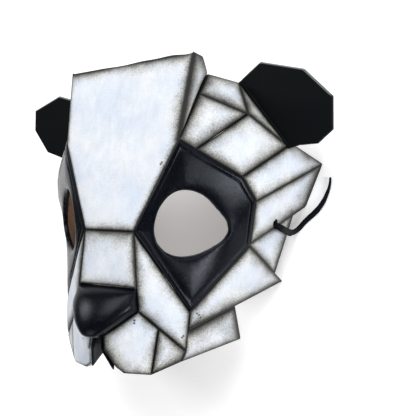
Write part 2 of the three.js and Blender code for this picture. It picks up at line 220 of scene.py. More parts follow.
# The lace: hidden start behind the panel, the turn over the rim, then the free end on the table. Its
# section is a rounded rectangle, and PANEL_OUT is the way the panel with the lace hole faces.
PANEL_OUT = (0.925, -0.238, 0.295)
LACE_SIDES = 12
LACE_WIDTH_POWER = 0.5
LACE_HEIGHT_POWER = 0.6
LACE_RIPPLE = 0.05
LACE_RIPPLE_LENGTH = 3.0
LACE_TURN_WIDTH = 4.4
LACE_END_WIDTH = 3.8
LACE_THICKNESS = 1.7
LACE_TIP_LENGTH = 24.0
LACE_TIP_SHARE = 0.35
LACE_LOOP = (
    (72.1, -0.6, 26.2),
    (77.9, -3.8, 27.7),
    (82.65, -6.0, 25.7),
    (84.4, -7.4, 11.7),
    (84.8, -6.95, 8.55),
)
LACE_TAIL = (
    (84.86, -6.87, 8.16),
    (85.16, -6.47, 5.66),
    (86.06, -5.37, 3.56),
    (87.36, -3.87, 2.16),
    (88.96, -1.87, 1.66),
    (91.36, 1.13, 1.61),
    (94.26, 4.13, 1.61),
    (97.16, 6.93, 1.61),
    (99.76, 9.83, 1.61),
    (101.96, 13.03, 1.61),
    (103.86, 16.63, 1.61),
    (105.36, 20.53, 1.61),
    (106.46, 24.23, 1.61),
    (107.06, 27.93, 1.61),
    (107.06, 31.73, 1.61),
)
LACE_STEP = 0.8

# Floor and light, in metres and watts: each lamp has its name, place, target, width and power
FLOOR_HALF = 2.0
# The floor's painted glow: it shines though it is no lamp, and lightens the shade on the floor and
# inside the mask
FLOOR_GLOW = 0.22
SKY_COLOUR = (0.95, 0.97, 1.0, 1)
SKY_STRENGTH = 0.15
LAMPS = (
    ("top", (0.1, 0.9, 1.1), (0, 0, 0.05), 0.9, 14.5),
    ("front", (-0.25, -0.85, 0.95), (0, 0, 0.05), 0.8, 4.8),
    ("right", (0.9, 0.7, 0.75), (0.05, 0, 0.05), 0.6, 3.0),
    ("left", (-0.8, 0.38, 0.66), (0, -0.05, 0.08), 0.3, 3.6),
    ("side", (1.03, -0.12, 0.45), (0.05, 0, 0.07), 0.26, 6.3),
)


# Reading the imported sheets

def region_groups(bm):
    """Faces grouped into regions that sharp edges bound, widest region first."""
    unseen = dict.fromkeys(bm.faces)
    groups = []
    while unseen:
        first = next(iter(unseen))
        del unseen[first]
        queue = [first]
        group = []
        while queue:
            face = queue.pop()
            group.append(face)
            for edge in face.edges:
                if edge.calc_face_angle(math.pi) > FOLD_ANGLE:
                    continue
                for other in edge.link_faces:
                    if other in unseen:
                        del unseen[other]
                        queue.append(other)
        groups.append(group)
    return sorted(groups, key=lambda group: -sum(face.calc_area() for face in group))


def boundary_loops(group):
    """The closed outlines of a region in millimetres, longest first, anticlockwise from outside."""
    members = set(group)
    follows = {}
    for face in group:
        for loop in face.loops:
            others = [other for other in loop.edge.link_faces if other not in members]
            if others:
                follows[loop.vert] = loop.link_loop_next.vert
    loops = []
    while follows:
        start, vert = next(iter(follows.items()))
        del follows[start]
        chain = [start]
        while vert is not start:
            chain.append(vert)
            vert = follows.pop(vert)
        loops.append(np.array([v.co[:] for v in chain]) / MM)
    return sorted(loops, key=lambda points: -loop_length(points))


def loop_length(points):
    """Length of a closed outline."""
    return np.linalg.norm(np.roll(points, -1, axis=0) - points, axis=1).sum()


def loop_normal(points):
    """The way that a closed outline faces."""
    normal = np.cross(points, np.roll(points, -1, axis=0)).sum(axis=0)
    return normal / np.linalg.norm(normal)


class Sheet:
    """A packed leather panel: outlines of its outer face and, point for point, of its back."""

    def __init__(self, node, front=None):
        bm = bmesh.new()
        bm.from_mesh(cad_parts[node].data)
        bmesh.ops.remove_doubles(bm, verts=bm.verts, dist=PACKED_WELD * MM)
        bm.normal_update()
        first, second = region_groups(bm)[:2]
        outer, back = (first, second) if faces_out(first, front) else (second, first)
        self.loops = boundary_loops(outer)
        self.outline = self.loops[0]
        self.back = back_partners(self.outline, np.concatenate(boundary_loops(back)))
        self.normal = loop_normal(self.outline)
        self.middle = self.outline.mean(axis=0)
        points = np.array([v.co[:] for face in outer for v in face.verts]) / MM
        self.crown = self.height_at_middle(points)
        bm.free()

    def height_at_middle(self, points):
        """How far the one of the points nearest to the panel's axis stands off its middle."""
        offsets = points - self.middle
        heights = offsets @ self.normal
        aside = np.linalg.norm(offsets - np.outer(heights, self.normal), axis=1)
        return heights[aside.argmin()]


def faces_out(group, front):
    """Whether a skin looks away from the wearer, or up or to the middle for a loose plate."""
    total = Vector()
    place = Vector()
    for face in group:
        total += face.normal * face.calc_area()
        place += face.calc_center_median()
    outwards = place / len(group) - Vector((0, 0, FACE_CENTRE_HEIGHT * MM))
    if front == "up":
        outwards = Vector(UP)
    if front == "middle":
        outwards = Vector((-place.x, 0, 0))
    return total.dot(outwards) > 0


def back_partners(outline, back_points):
    """The back's point behind each point of the face's outline, spread where several share one."""
    partners = np.array([nearest(back_points, point) for point in outline])
    back = back_points[partners]
    for shared in np.unique(partners):
        group = partners == shared
        back[group] += BACK_SPREAD * (outline[group] - outline[group].mean(axis=0))
    return back


def nearest(points, point):
    """Which of the points lies nearest to a point."""
    return np.linalg.norm(points - point, axis=1).argmin()


# Working with outlines

def widened(outline, back, normal, distance, bluntness):
    """Both outlines moved outwards in the panel's plane by the distance, less at blunt tips."""
    along = np.roll(outline, -1, axis=0) - outline
    inward = np.cross(normal, along)
    inward /= np.linalg.norm(inward, axis=1)[:, None]
    before = np.roll(inward, 1, axis=0)
    turn = np.maximum(1 + (before * inward).sum(axis=1), bluntness)
    shift = (before + inward) * (distance / turn)[:, None]
    return outline - shift, back - shift


def stepped(outline, back, step):
    """Both outlines cut into short steps along their straight edges."""
    dense_outline = []
    dense_back = []
    for i in range(len(outline)):
        after = (i + 1) % len(outline)
        count = max(1, math.ceil(np.linalg.norm(outline[after] - outline[i]) / step))
        for j in range(count):
            share = j / count
            dense_outline.append(outline[i] * (1 - share) + outline[after] * share)
            dense_back.append(back[i] * (1 - share) + back[after] * share)
    return np.array(dense_outline), np.array(dense_back)


def distance_to_loop(points, loop):
    """Shortest distance from each point to a closed outline."""
    best = np.full(len(points), np.inf)
    for start, end in zip(loop, np.roll(loop, -1, axis=0)):
        edge = end - start
        share = np.clip((points - start) @ edge / (edge @ edge), 0, 1)
        best = np.minimum(best, np.linalg.norm(points - start - share[:, None] * edge, axis=1))
    return best


def corner_points(outline):
    """The points of an outline where it turns."""
    after = np.roll(outline, -1, axis=0) - outline
    before = outline - np.roll(outline, 1, axis=0)
    cosine = (after * before).sum(axis=1)
    cosine /= np.linalg.norm(after, axis=1) * np.linalg.norm(before, axis=1)
    return outline[cosine < math.cos(CORNER_ANGLE)]


def pillow(points, outline):
    """A smooth field that is nought on a closed outline and grows to one at its highest point."""
    total = np.zeros(len(points))
    loop = corner_points(outline)
    for start, end in zip(loop, np.roll(loop, -1, axis=0)):
        edge = end - start
        share = np.clip((points - start) @ edge / (edge @ edge), 0, 1)
        distance = np.linalg.norm(points - start - share[:, None] * edge, axis=1)
        total += np.maximum(distance, TINY_ARM) ** -PILLOW_POWER
    field = total ** (-1 / PILLOW_POWER)
    return field / field.max()


def plane_axes(normal):
    """Two directions in a panel's plane: across the mask and towards the forehead."""
    across = np.cross((0, 1, 0), normal)
    across /= np.linalg.norm(across)
    return across, np.cross(normal, across)


def smooth_base(points, distance, outline, middle, normal):
    """Points moved along the normal onto a smooth span of a bent outline, by mean value weights."""
    axes = np.array(plane_axes(normal)).T
    rim_heights = (outline - middle) @ normal
    heights = (points - middle) @ normal
    arms = ((outline - middle) @ axes)[None, :, :] - ((points - middle) @ axes)[:, None, :]
    after = np.roll(arms, -1, axis=1)
    length = np.linalg.norm(arms, axis=2)
    turned = arms[:, :, 0] * after[:, :, 1] - arms[:, :, 1] * after[:, :, 0]
    inline = length * np.roll(length, -1, axis=1) - (arms * after).sum(axis=2)
    half_tangent = inline / np.where(np.abs(turned) < TINY_AREA, TINY_AREA, turned)
    weights = (half_tangent + np.roll(half_tangent, 1, axis=1)) / np.maximum(length, TINY_ARM)
    spanned = (weights @ rim_heights) / weights.sum(axis=1)
    share = np.clip(distance / BASE_MARGIN, 0, 1)
    share = share * share * (3 - 2 * share)
    return points + np.outer((spanned - heights) * share, normal)


def border_distance(points, outline, sheet, border):
    """Distance to the outline, in shares of the border's own width along each edge."""
    width, boosts = border
    middle_sign = 1 if sheet.middle[0] > 0 else -1
    best = np.full(len(points), np.inf)
    for start, end in zip(outline, np.roll(outline, -1, axis=0)):
        edge = end - start
        outward = np.cross(edge, sheet.normal)
        outward /= np.linalg.norm(outward)
        outward[0] *= middle_sign
        reach = width
        core = 0.0
        for facing, more, dark in boosts:
            alike = max(0, outward @ facing / np.linalg.norm(facing)) ** EDGE_POWER
            reach += more * alike
            core += dark * alike
        share = np.clip((points - start) @ edge / (edge @ edge), 0, 1)
        distance = np.linalg.norm(points - start - share[:, None] * edge, axis=1)
        best = np.minimum(best, np.maximum(distance - core, 0) / reach)
    return best


def rounding_drop(distance, radius):
    """How far a rounded edge lies below the flat, by the distance from that edge."""
    inside = np.clip(distance, 0, radius)
    return radius - np.sqrt(np.maximum(radius**2 - (radius - inside) ** 2, 0))


def waves(points, distance):
    """Gentle hand-formed unevenness that dies out towards the edge."""
    heights = np.array([noise.noise(Vector(point) / WAVE_LENGTH) for point in points])
    return WAVE_HEIGHT * heights * np.clip(distance / WAVE_MARGIN, 0, 1)


# Mesh pieces

def make_piece(name, vertices, faces, back_faces, border):
    """A mesh object in the row frame, with its back faces in the second material slot."""
    mesh = bpy.data.meshes.new(name)
    vertices = np.array(vertices)
    vertices[:, 2] = np.maximum(vertices[:, 2], 0)
    mesh.from_pydata([tuple(v) for v in vertices * MM], [], faces)
    mesh.polygons.foreach_set("material_index", np.array(back_faces, dtype=np.int32))
    mesh.polygons.foreach_set("use_smooth", np.ones(len(faces), dtype=bool))
    layer = mesh.attributes.new("border", "FLOAT", "POINT")
    layer.data.foreach_set("value", np.asarray(border, dtype=np.float32))
    bm = bmesh.new()
    bm.from_mesh(mesh)
    bmesh.ops.remove_doubles(bm, verts=bm.verts, dist=POINT_WELD * MM)
    bm.to_mesh(mesh)
    bm.free()
    mesh.validate()
    mesh.set_sharp_from_angle(angle=SHARP_ANGLE)
    piece = bpy.data.objects.new(name, mesh)
    bpy.context.collection.objects.link(piece)
    return piece


def grid_faces(rows, count, closed):
    """Quads between rows of points that each run round the outline."""
    faces = []
    for row in range(rows if closed else rows - 1):
        lower = row * count
        upper = ((row + 1) % rows) * count
        for j in range(count):
            after = (j + 1) % count
            faces.append((lower + j, upper + j, upper + after, lower + after))
    return faces


def base_edge(outline):
    """The ends of the longest straight edge of an outline."""
    corners = corner_points(outline)
    after = np.roll(corners, -1, axis=0)
    longest = np.linalg.norm(after - corners, axis=1).argmax()
    return corners[longest], after[longest]


def tucked(outline, back, normal):
    """Both outlines of an ear with the foot moved outwards, under the leather that it grows from."""
    start, end = base_edge(outline)
    outward = np.cross(end - start, normal)
    shift = outward / np.linalg.norm(outward) * EAR_TUCK
    gap = np.linalg.norm(np.cross(outline - start, end - start), axis=1)
    gap /= np.linalg.norm(end - start)
    moved = np.where(gap[:, None] < EAR_FOOT_GAP, shift, 0)
    return outline + moved, back + moved


def hand_cut(outline, back):
    """Both outlines of the forehead with an upper edge that was cut by hand, not quite straight."""
    top = outline[:, 1].max()
    on_edge = np.clip(1 - (top - outline[:, 1]) / CUT_MARGIN, 0, 1)
    across = outline[:, 0]
    half = np.abs(across).max()
    wander = np.sin(across / CUT_LENGTH - CUT_START)
    wander += CUT_SECOND_HEIGHT * np.sin(across / CUT_LENGTH * CUT_SECOND_COUNT)
    shift = CUT_HEIGHT * wander * on_edge * np.clip((half - np.abs(across)) / CUT_MARGIN, 0, 1)
    moved = np.outer(shift, (0, 1, 0))
    return outline + moved, back + moved


def ear_highlight_offset(outline, normal, rows):
    """Nought along the upper edges of an ear, which get a painted highlight, and one along the others.
    """
    along = np.roll(outline, -1, axis=0) - np.roll(outline, 1, axis=0)
    outward = np.cross(along, normal)
    outward /= np.linalg.norm(outward, axis=1)[:, None]
    # Edges that face up get the painted highlight, the others none
    shade = 1 - np.clip(outward[:, 1], 0, 1)
    return np.append(np.tile(shade, rows), (1, 1))


def spray_share(points):
    """Share that is left of the border distance where the forehead's upper edge is sprayed darker."""
    along = np.exp(-(((points[:, 0] - SPRAY_PLACE) / SPRAY_LENGTH) ** 2))
    near = np.clip(1 - (points[:, 1].max() - points[:, 1]) / SPRAY_DEPTH, 0, 1)
    return 1 - SPRAY_STRENGTH * along * near


def crease_drop(points, outline):
    """The pressed line that runs along the foot of an ear."""
    start, end = base_edge(outline)
    along = (end - start) / np.linalg.norm(end - start)
    offsets = points - start
    away = np.linalg.norm(offsets - np.outer(offsets @ along, along), axis=1)
    return EAR_CREASE_DEPTH * np.exp(-(((away - EAR_CREASE) / EAR_CREASE_HALF_WIDTH) ** 2))


def line_distances(points, outline, normal):
    """Distances from each point to the lines of the outline's edges, one row for each edge."""
    corners = corner_points(outline)
    rows = []
    for start, end in zip(corners, np.roll(corners, -1, axis=0)):
        inward = np.cross(normal, end - start)
        inward /= np.linalg.norm(inward)
        rows.append(np.maximum((points - start) @ inward, 0))
    return np.array(rows)


def nose_dome(points, outline, middle, normal):
    """Share of the nose's crown at each point: a smooth barrel, fuller low down above the lips."""
    gaps = np.maximum(line_distances(points, outline, normal), TINY_GAP)
    upper = upper_edge(outline)
    field = 1 / (1 / np.delete(gaps, upper, axis=0)).sum(axis=0)
    rise = 1 - np.exp(-gaps[upper] / NOSE_TOP_LENGTH)
    slope = 1 + (middle[1] - points[:, 1]) / NOSE_SLOPE_LENGTH
    return (field / field.max()) ** NOSE_FULLNESS * rise * slope


def nose_lean(points, middle, normal):
    """Sideways part of the nose's swelling, away from its middle but never over the bridge."""
    aside = points - middle
    aside = aside - np.outer(aside @ normal, normal)
    low = np.clip((middle[1] + NOSE_LEAN_START - points[:, 1]) / NOSE_LEAN_LENGTH, 0, 1)
    aside[:, 1] = np.minimum(aside[:, 1], 0)
    return aside * (NOSE_LEAN * low)[:, None]


def upper_edge(outline):
    """Which edge of an outline is nearest to the forehead."""
    corners = corner_points(outline)
    return (corners + np.roll(corners, -1, axis=0))[:, 1].argmax()


def nose_groove(points, outline, normal):
    """The pressed line below the upper edge of the nose."""
    gap = line_distances(points, outline, normal)[upper_edge(outline)]
    return NOSE_GROOVE_DEPTH * np.exp(-(((gap - NOSE_GROOVE) / NOSE_GROOVE_HALF_WIDTH) ** 2))


def panel_outlines(sheet, look):
    """A panel's outline with its corners alone, then its face's and back's outlines in short steps."""
    closing = CLOSINGS.get(look, SEAM_CLOSING)
    bluntness = BLUNTNESS.get(look, 0.0)
    coarse, back = widened(sheet.outline, sheet.back, sheet.normal, closing, bluntness)
    if look == "ear":
        coarse, back = tucked(coarse, back, sheet.normal)
    outline, back = stepped(coarse, back, OUTLINE_STEP)
    if look == "forehead":
        outline, back = hand_cut(outline, back)
    return coarse, outline, back


def ring_shares(reach, look):
    """Where the rings of points lie on the way from the outline to the panel's middle, in shares."""
    edge_limit = np.minimum(1, EDGE_SHARE * reach / EDGE_RINGS[-1])
    rings = EDGE_RINGS + EAR_RINGS if look == "ear" else EDGE_RINGS
    shares = [distance * edge_limit / reach for distance in rings]
    return shares + [np.full(len(reach), share) for share in INNER_SHARES]


def pillow_surface(flat, distance, coarse, sheet, look):
    """A panel's pillowed surface, then the heights of its waves, rounded edge and an ear's crease."""
    lift = sheet.crown * (1 - (1 - pillow(flat, coarse)) ** 2)
    detail = waves(flat, distance) - rounding_drop(distance, EDGE_ROUNDING)
    if look == "ear":
        detail -= crease_drop(flat, coarse)
    return flat + np.outer(lift, sheet.normal), detail


def nose_surface(flat, distance, coarse, sheet):
    """The nose's domed surface, then the heights of its waves and pressed line."""
    crown = sheet.crown * NOSE_CROWN_SHARE
    lift = crown * nose_dome(flat, coarse, sheet.middle, sheet.normal)
    surface = flat + np.outer(lift, sheet.normal)
    surface += lift[:, None] * nose_lean(flat, sheet.middle, sheet.normal)
    detail = NOSE_WAVE_SHARE * waves(flat, distance) - nose_groove(flat, coarse, sheet.normal)
    return surface, detail


def panel_faces(rows, count, back_start):
    """Faces of a panel, with a fan round the middle of its face and back, and which lie at the back."""
    faces = grid_faces(rows, count, closed=False)
    on_back = [face[0] >= back_start for face in faces]
    face_middle = rows * count
    back_middle = face_middle + 1
    last = (rows - 1) * count
    for j in range(count):
        after = (j + 1) % count
        faces.append((face_middle, j, after))
        on_back.append(False)
        faces.append((back_middle, last + after, last + j))
        on_back.append(True)
    return faces, on_back


def thickened(surface, detail, outline, back, normal, back_start):
    """A panel's points: its surface with the detail on the face, and the back as deep as the leather."""
    count = len(outline)
    middle = len(surface) - 1
    thickness = np.linalg.norm(outline - back, axis=1).mean()
    back_middle = surface[middle] - normal * thickness
    vertices = np.concatenate([surface, [back_middle]])
    on_face = np.r_[0:back_start, middle]
    vertices[on_face] += np.outer(detail[on_face], normal)
    for row, share in enumerate(BACK_SHARES):
        part = slice(back_start + row * count, back_start + (row + 1) * count)
        vertices[part] += (back - outline) * (1 - share) - normal * (thickness * share)
    return vertices


def ear_border(vertices, outline, normal, rows, back_start):
    """Distance from an ear's edge, and one more along the edges that get no painted highlight."""
    distance = distance_to_loop(vertices, outline)
    distance[back_start:back_start + len(outline)] = 0
    return distance + ear_highlight_offset(outline, normal, rows)


def panel_piece(name, node, border, look="panel"):
    """A leather panel with rounded edges, a pillowed face and a raw back."""
    sheet = Sheet(node, FRONTS.get(look))
    coarse, outline, back = panel_outlines(sheet, look)
    count = len(outline)
    arms = sheet.middle - outline
    shares = ring_shares(np.linalg.norm(arms, axis=1), look)
    rows = len(shares) + len(BACK_SHARES)
    back_start = len(shares) * count

    face_rows = [outline + arms * share[:, None] for share in shares[::-1]]
    back_rows = [outline + arms * share for share in BACK_SHARES]
    flat = np.concatenate([*face_rows, *back_rows, [sheet.middle]])
    distance = distance_to_loop(flat, outline)
    flat = smooth_base(flat, distance, outline, sheet.middle, sheet.normal)
    if look == "nose":
        surface, detail = nose_surface(flat, distance, coarse, sheet)
    else:
        surface, detail = pillow_surface(flat, distance, coarse, sheet, look)

    vertices = thickened(surface, detail, outline, back, sheet.normal, back_start)
    if look == "ear":
        paint = ear_border(vertices, outline, sheet.normal, rows, back_start)
    else:
        paint = border_distance(vertices, coarse, sheet, border)
        paint[back_start:rows * count] = 0
    if look == "forehead":
        paint *= spray_share(vertices)
    faces, on_back = panel_faces(rows, count, back_start)
    return make_piece(name, vertices, faces, on_back, paint)


def hole_edge(sheet, outline):
    """The edge of a panel's hole, with one point towards each point of the outline."""
    centre = sheet.loops[1].mean(axis=0)
    across, upwards = plane_axes(sheet.normal)
    spokes = outline - centre
    angles = np.arctan2(spokes @ upwards, spokes @ across)
    arms = sheet.loops[1] - centre
    turn = np.arctan2(arms @ upwards, arms @ across)
    order = turn.argsort()
    turn = turn[order]
    radius = np.linalg.norm(arms, axis=1)[order]
    circle = 2 * math.pi
    turn = np.concatenate([turn - circle, turn, turn + circle])
    radius = np.interp(angles, turn, np.tile(radius, 3))
    aside = np.outer(radius * np.cos(angles), across)
    above = np.outer(radius * np.sin(angles), upwards)
    return centre + aside + above


def holed_shares(reach):
    """Where the rings of points lie on the way from the outline to the hole, in shares."""
    near = np.minimum(HOLED_EDGE_RINGS[-1] / reach, HOLED_EDGE_SHARE)
    shares = [near * distance / HOLED_EDGE_RINGS[-1] for distance in HOLED_EDGE_RINGS]
    return shares + [near + (1 - near) * share for share in HOLED_SHARES]


def holed_lift(flat, distance, to_hole, coarse, normal, look):
    """How far a holed panel's face stands off its flat: a patch's rise and groove, edges and waves."""
    gaps = np.maximum(line_distances(flat, coarse, normal), TINY_GAP)
    field = 1 / ((1 / gaps).sum(axis=0) + 1 / np.maximum(to_hole, TINY_GAP))
    lift = HOLED_RISE[look] * (field / PATCH_FIELD) ** PATCH_FULLNESS
    lift -= rounding_drop(distance, EDGE_ROUNDING)
    lift -= rounding_drop(to_hole, HOLE_ROUNDING[look])
    lift -= GROOVE_DEPTH[look] * np.exp(-(((distance - PATCH_GROOVE) / GROOVE_HALF_WIDTH) ** 2))
    lift += HOLED_WAVE_SHARE * waves(flat, np.minimum(distance, to_hole))
    return lift


def holed_face(sheet, coarse, outline, hole, look):
    """Rings of points over a holed panel's face, from the hole to the outline."""
    arms = hole - outline
    on_base = smooth_base(hole, distance_to_loop(hole, outline), outline, sheet.middle, sheet.normal)
    sink = (hole - on_base) @ sheet.normal
    rings = []
    for share in holed_shares(np.linalg.norm(arms, axis=1)):
        flat = outline + arms * share[:, None]
        distance = distance_to_loop(flat, outline)
        to_hole = distance_to_loop(flat, hole)
        flat = smooth_base(flat, distance, outline, sheet.middle, sheet.normal)
        flat += np.outer(sink * share**2, sheet.normal)
        lift = holed_lift(flat, distance, to_hole, coarse, sheet.normal, look)
        rings.append(flat + np.outer(lift, sheet.normal))
    return rings[::-1]


def holed_back(sheet, outline, back, hole, look):
    """Rings of points over a holed panel's back, from the outline to the hole."""
    thickness = np.linalg.norm(outline - back, axis=1).mean()
    hole_back = hole - sheet.normal * thickness
    rings = []
    for share in HOLED_BACK_SHARES:
        flat = back + (hole_back - back) * share
        rings.append(flat + sheet.normal * (HOLED_RISE[look] * math.sin(math.pi * share)))
    return rings


def holed_piece(name, node, border, look="panel"):
    """A panel round a hole. The hole's wall is raw leather in a white panel, and dyed in a patch."""
    sheet = Sheet(node)
    coarse, outline, back = panel_outlines(sheet, look)
    count = len(outline)
    hole = hole_edge(sheet, outline)
    face_rings = holed_face(sheet, coarse, outline, hole, look)
    back_rings = holed_back(sheet, outline, back, hole, look)
    vertices = np.concatenate([*face_rings, *back_rings])
    rows = len(face_rings) + len(back_rings)
    back_start = len(face_rings) * count
    hole_wall = (rows - 1) * count
    raw_end = hole_wall if look == "patch" else hole_wall + count
    faces = grid_faces(rows, count, closed=True)
    on_back = [back_start <= face[0] < raw_end for face in faces]
    paint = border_distance(vertices, coarse, sheet, border)
    paint[back_start:] = 0
    return make_piece(name, vertices, faces, on_back, paint)


# Materials

def new_material(name):
    """A material with its nodes, links and shader."""
    material = bpy.data.materials.new(name)
    material.use_nodes = True
    nodes = material.node_tree.nodes
    return material, nodes, material.node_tree.links, nodes["Principled BSDF"]


def add_node(nodes, kind, **settings):
    """A node with the given sockets and settings."""
    node = nodes.new(kind)
    for key, value in settings.items():
        if key in node.inputs:
            node.inputs[key].default_value = value
        else:
            setattr(node, key, value)
    return node


def add_ramp(nodes, stops):
    """A colour ramp with the given stops."""
    ramp = nodes.new("ShaderNodeValToRGB")
    elements = ramp.color_ramp.elements
    while len(elements) < len(stops):
        elements.new(1.0)
    for element, (position, colour) in zip(elements, stops):
        element.position = position
        element.color = (*colour, 1)
    return ramp


def object_noise(nodes, links, scale, detail=3.0, roughness=0.5, distortion=0.0, stretch=None):
    """Noise in the row frame, with its scale in features per metre."""
    place = nodes.new("ShaderNodeTexCoord")
    texture = add_node(nodes, "ShaderNodeTexNoise", Scale=scale, Detail=detail, Roughness=roughness)
    texture.inputs["Distortion"].default_value = distortion
    source = place.outputs["Object"]
    if stretch:
        mapping = nodes.new("ShaderNodeMapping")
        mapping.inputs["Scale"].default_value = stretch
        links.new(source, mapping.inputs["Vector"])
        source = mapping.outputs["Vector"]
    links.new(source, texture.inputs["Vector"])
    return texture.outputs["Fac"]


def math_node(nodes, links, operation, first, second):
    """Two values or sockets joined."""
    node = nodes.new("ShaderNodeMath")
    node.operation = operation
    for socket, value in zip(node.inputs, (first, second)):
        if isinstance(value, (int, float)):
            socket.default_value = value
        else:
            links.new(value, socket)
    return node.outputs["Value"]


def mix_colours(nodes, links, share, first, second, blend="MIX"):
    """Two colours or sockets blended by a share."""
    node = nodes.new("ShaderNodeMix")
    node.data_type = "RGBA"
    node.blend_type = blend
    for socket, value in ((node.inputs[0], share), (node.inputs[6], first), (node.inputs[7], second)):
        if isinstance(value, (int, float)):
            socket.default_value = value
        elif isinstance(value, tuple):
            socket.default_value = (*value, 1)
        else:
            links.new(value, socket)
    return node.outputs[2]


def shaded(nodes, links, colour, share):
    """A colour made darker or paler by a share."""
    grey = nodes.new("ShaderNodeCombineColor")
    for socket in grey.inputs:
        links.new(share, socket)
    return mix_colours(nodes, links, 1.0, colour, grey.outputs["Color"], "MULTIPLY")


def map_range(nodes, links, value, low, high, to_low=0.0, to_high=1.0):
    """A value carried over from one range to another."""
    node = nodes.new("ShaderNodeMapRange")
    links.new(value, node.inputs["Value"])
    node.inputs["From Min"].default_value = low
    node.inputs["From Max"].default_value = high
    node.inputs["To Min"].default_value = to_low
    node.inputs["To Max"].default_value = to_high
    return node.outputs["Result"]


def attribute(nodes, name):
    """A value that the mesh carries at its points."""
    return add_node(nodes, "ShaderNodeAttribute", attribute_name=name).outputs["Fac"]


def add_bump(nodes, links, shader, height, strength, distance):
    """Fine relief in a shader, with its depth in millimetres."""
    bump = add_node(nodes, "ShaderNodeBump", Strength=strength, Distance=distance * MM)
    links.new(height, bump.inputs["Height"])
    links.new(bump.outputs["Normal"], shader.inputs["Normal"])


def fleck_share(nodes, links):
    """Nearly nought in a fleck of the paint, and one away from it."""
    place = nodes.new("ShaderNodeTexCoord").outputs["Object"]
    nearest_fleck = None
    for fleck in FLECKS:
        gap = nodes.new("ShaderNodeVectorMath")
        gap.operation = "DISTANCE"
        links.new(place, gap.inputs[0])
        gap.inputs[1].default_value = [length * MM for length in fleck]
        distance = gap.outputs["Value"]
        if nearest_fleck is not None:
            distance = math_node(nodes, links, "MINIMUM", nearest_fleck, distance)
        nearest_fleck = distance
    core = FLECK_CORE * FLECK_RADIUS * MM
    rim = FLECK_RIM * FLECK_RADIUS * MM
    return map_range(nodes, links, nearest_fleck, core, rim, FLECK_SHADE, 1.0)


def white_leather():
    """White paint brushed over leather, darkened by spray along the seams."""
    material, nodes, links, shader = new_material("white_leather")
    cloud = object_noise(nodes, links, 110, detail=2)
    spray = map_range(nodes, links, cloud, 0.25, 0.75, 0.72, 1.35)
    dots = object_noise(nodes, links, 1100, detail=2, roughness=0.7)
    grit = map_range(nodes, links, dots, 0.3, 0.7, 0.62, 1.4)
    border = math_node(nodes, links, "MULTIPLY", attribute(nodes, "border"), spray)
    grainy = math_node(nodes, links, "MULTIPLY", border, grit)
    ramp = add_ramp(nodes, BORDER_STOPS)
    links.new(map_range(nodes, links, grainy, 0, BORDER_REACH), ramp.inputs["Fac"])
    mottle = object_noise(nodes, links, 48, detail=5, roughness=0.65)
    cool = map_range(nodes, links, mottle, 0.36, 0.64)
    tinted = mix_colours(nodes, links, cool, (0.84, 0.885, 0.955), (1.02, 1.012, 1.0))
    painted = mix_colours(nodes, links, 1.0, ramp.outputs["Color"], tinted, "MULTIPLY")
    strokes = object_noise(nodes, links, 190, 5, 0.65, distortion=0.8, stretch=(1.0, 0.4, 1.0))
    painted = shaded(nodes, links, painted, map_range(nodes, links, strokes, 0.3, 0.65, 0.93, 1.03))
    specks = object_noise(nodes, links, 1500, detail=3, roughness=0.7)
    painted = shaded(nodes, links, painted, map_range(nodes, links, specks, 0.3, 0.5, 0.84, 1.0))
    painted = shaded(nodes, links, painted, fleck_share(nodes, links))
    links.new(painted, shader.inputs["Base Color"])
    rough = map_range(nodes, links, object_noise(nodes, links, 700), 0.3, 0.7, 0.46, 0.62)
    links.new(rough, shader.inputs["Roughness"])
    shader.inputs["Specular IOR Level"].default_value = 0.35
    grain = object_noise(nodes, links, 900, detail=5, roughness=0.6)
    add_bump(nodes, links, shader, grain, 0.35, 0.25)
    return material


def black_leather():
    """Black dyed leather with fine wrinkles and a soft cool sheen."""
    material, nodes, links, shader = new_material("black_leather")
    tone = map_range(nodes, links, object_noise(nodes, links, 90, detail=4), 0.35, 0.7)
    base = mix_colours(nodes, links, tone, (0.0012, 0.0015, 0.0032), (0.003, 0.0036, 0.006))
    wrinkle = object_noise(nodes, links, 760, 5, 0.75, distortion=2.0)
    hairs = map_range(nodes, links, wrinkle, 0.54, 0.74)
    base = mix_colours(nodes, links, hairs, base, (0.014, 0.017, 0.022))
    links.new(base, shader.inputs["Base Color"])
    rough = map_range(nodes, links, wrinkle, 0.3, 0.7, 0.17, 0.3)
    links.new(rough, shader.inputs["Roughness"])
    shader.inputs["Specular IOR Level"].default_value = 0.13
    shader.inputs["Specular Tint"].default_value = (0.82, 0.89, 1.0, 1)
    add_bump(nodes, links, shader, wrinkle, 0.22, 0.3)
    return material


def ear_leather():
    """Matt black leather with a painted highlight along its upper cut edges."""
    material, nodes, links, shader = new_material("ear_leather")
    # Pale colour near the upper cut edges: a painted highlight where they catch the light
    upper_edge_highlight = map_range(nodes, links, attribute(nodes, "border"), 0.2, 1.3, 1.0, 0.0)
    base = mix_colours(nodes, links, upper_edge_highlight, (0.0026, 0.0038, 0.0045), (0.28, 0.3, 0.29))
    links.new(base, shader.inputs["Base Color"])
    grain = object_noise(nodes, links, 800, detail=4)
    links.new(map_range(nodes, links, grain, 0.3, 0.7, 0.5, 0.65), shader.inputs["Roughness"])
    shader.inputs["Specular IOR Level"].default_value = 0.06
    add_bump(nodes, links, shader, grain, 0.25, 0.2)
    return material


def raw_leather():
    """The undyed back of the leather, brown and rough."""
    material, nodes, links, shader = new_material("raw_leather")
    fibre = object_noise(nodes, links, 420, detail=6, roughness=0.7)
    tone = map_range(nodes, links, fibre, 0.3, 0.7)
    base = mix_colours(nodes, links, tone, (0.085, 0.042, 0.022), (0.16, 0.09, 0.05))
    links.new(base, shader.inputs["Base Color"])
    shader.inputs["Roughness"].default_value = 0.85
    shader.inputs["Specular IOR Level"].default_value = 0.2
    add_bump(nodes, links, shader, fibre, 0.5, 0.4)
    return material


